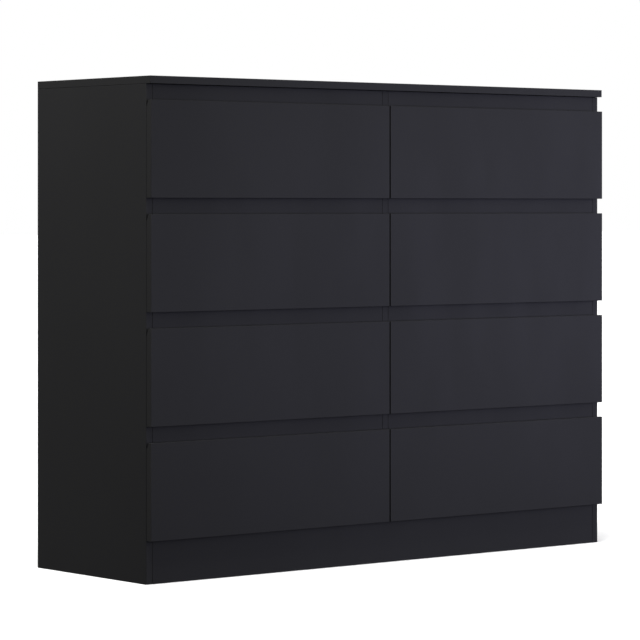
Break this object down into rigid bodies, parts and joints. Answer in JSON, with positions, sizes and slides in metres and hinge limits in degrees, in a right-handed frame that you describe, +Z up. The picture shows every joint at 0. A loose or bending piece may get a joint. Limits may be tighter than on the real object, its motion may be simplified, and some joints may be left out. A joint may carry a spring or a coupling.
{
  "type": "dresser",
  "caption": "Wide chest of drawers on a plinth, with a flat panel top, handle-less fronts that cover the carcass edges, finger gaps between them, and drawers on roller runners.",
  "frame": {"origin": "centre of the base, on the floor, halfway between the drawer fronts' faces and the back sheet", "axes": "+X to the right seen from the front, +Y to the back, +Z up; the drawers open along -Y"},
  "size_m": [1.2, 0.3866, 0.9725],
  "materials": {
    "black_laminate": "matte black melamine-faced particle board",
    "drawer_board": "light grey foil-wrapped board",
    "hardboard": "bare hardboard",
    "runner_steel": "zinc-plated sheet steel"
  },
  "bodies": {
    "carcass": {"top_panel": "black_laminate", "left_side_panel": "black_laminate", "right_side_panel": "black_laminate", "centre_divider": "black_laminate", "plinth_board": "black_laminate", "rear_base_rail": "black_laminate", "rail_1_left": "black_laminate", "rail_1_right": "black_laminate", "rail_2_left": "black_laminate", "rail_2_right": "black_laminate", "rail_3_left": "black_laminate", "rail_3_right": "black_laminate", "rail_4_left": "black_laminate", "rail_4_right": "black_laminate", "back_panel_left": "hardboard", "back_panel_right": "hardboard", "left_side_runner_1": "runner_steel", "divider_runner_pair_1": "runner_steel", "right_side_runner_1": "runner_steel", "left_side_runner_2": "runner_steel", "divider_runner_pair_2": "runner_steel", "right_side_runner_2": "runner_steel", "left_side_runner_3": "runner_steel", "divider_runner_pair_3": "runner_steel", "right_side_runner_3": "runner_steel", "left_side_runner_4": "runner_steel", "divider_runner_pair_4": "runner_steel", "right_side_runner_4": "runner_steel"},
    "drawer_1_left": {"drawer_1_left_front": "black_laminate", "drawer_1_left_box": "drawer_board", "drawer_1_left_runner_left": "runner_steel", "drawer_1_left_runner_right": "runner_steel"},
    "drawer_1_right": {"drawer_1_right_front": "black_laminate", "drawer_1_right_box": "drawer_board", "drawer_1_right_runner_left": "runner_steel", "drawer_1_right_runner_right": "runner_steel"},
    "drawer_2_left": {"drawer_2_left_front": "black_laminate", "drawer_2_left_box": "drawer_board", "drawer_2_left_runner_left": "runner_steel", "drawer_2_left_runner_right": "runner_steel"},
    "drawer_2_right": {"drawer_2_right_front": "black_laminate", "drawer_2_right_box": "drawer_board", "drawer_2_right_runner_left": "runner_steel", "drawer_2_right_runner_right": "runner_steel"},
    "drawer_3_left": {"drawer_3_left_front": "black_laminate", "drawer_3_left_box": "drawer_board", "drawer_3_left_runner_left": "runner_steel", "drawer_3_left_runner_right": "runner_steel"},
    "drawer_3_right": {"drawer_3_right_front": "black_laminate", "drawer_3_right_box": "drawer_board", "drawer_3_right_runner_left": "runner_steel", "drawer_3_right_runner_right": "runner_steel"},
    "drawer_4_left": {"drawer_4_left_front": "black_laminate", "drawer_4_left_box": "drawer_board", "drawer_4_left_runner_left": "runner_steel", "drawer_4_left_runner_right": "runner_steel"},
    "drawer_4_right": {"drawer_4_right_front": "black_laminate", "drawer_4_right_box": "drawer_board", "drawer_4_right_runner_left": "runner_steel", "drawer_4_right_runner_right": "runner_steel"}
  },
  "joints": [
    {"name": "drawer_1_left_slide", "type": "slide", "parent": "carcass", "child": "drawer_1_left", "axis": [0, -1, 0], "range_m": [0, 0.26]},
    {"name": "drawer_1_right_slide", "type": "slide", "parent": "carcass", "child": "drawer_1_right", "axis": [0, -1, 0], "range_m": [0, 0.26]},
    {"name": "drawer_2_left_slide", "type": "slide", "parent": "carcass", "child": "drawer_2_left", "axis": [0, -1, 0], "range_m": [0, 0.26]},
    {"name": "drawer_2_right_slide", "type": "slide", "parent": "carcass", "child": "drawer_2_right", "axis": [0, -1, 0], "range_m": [0, 0.26]},
    {"name": "drawer_3_left_slide", "type": "slide", "parent": "carcass", "child": "drawer_3_left", "axis": [0, -1, 0], "range_m": [0, 0.26]},
    {"name": "drawer_3_right_slide", "type": "slide", "parent": "carcass", "child": "drawer_3_right", "axis": [0, -1, 0], "range_m": [0, 0.26]},
    {"name": "drawer_4_left_slide", "type": "slide", "parent": "carcass", "child": "drawer_4_left", "axis": [0, -1, 0], "range_m": [0, 0.26]},
    {"name": "drawer_4_right_slide", "type": "slide", "parent": "carcass", "child": "drawer_4_right", "axis": [0, -1, 0], "range_m": [0, 0.26]}
  ]
}
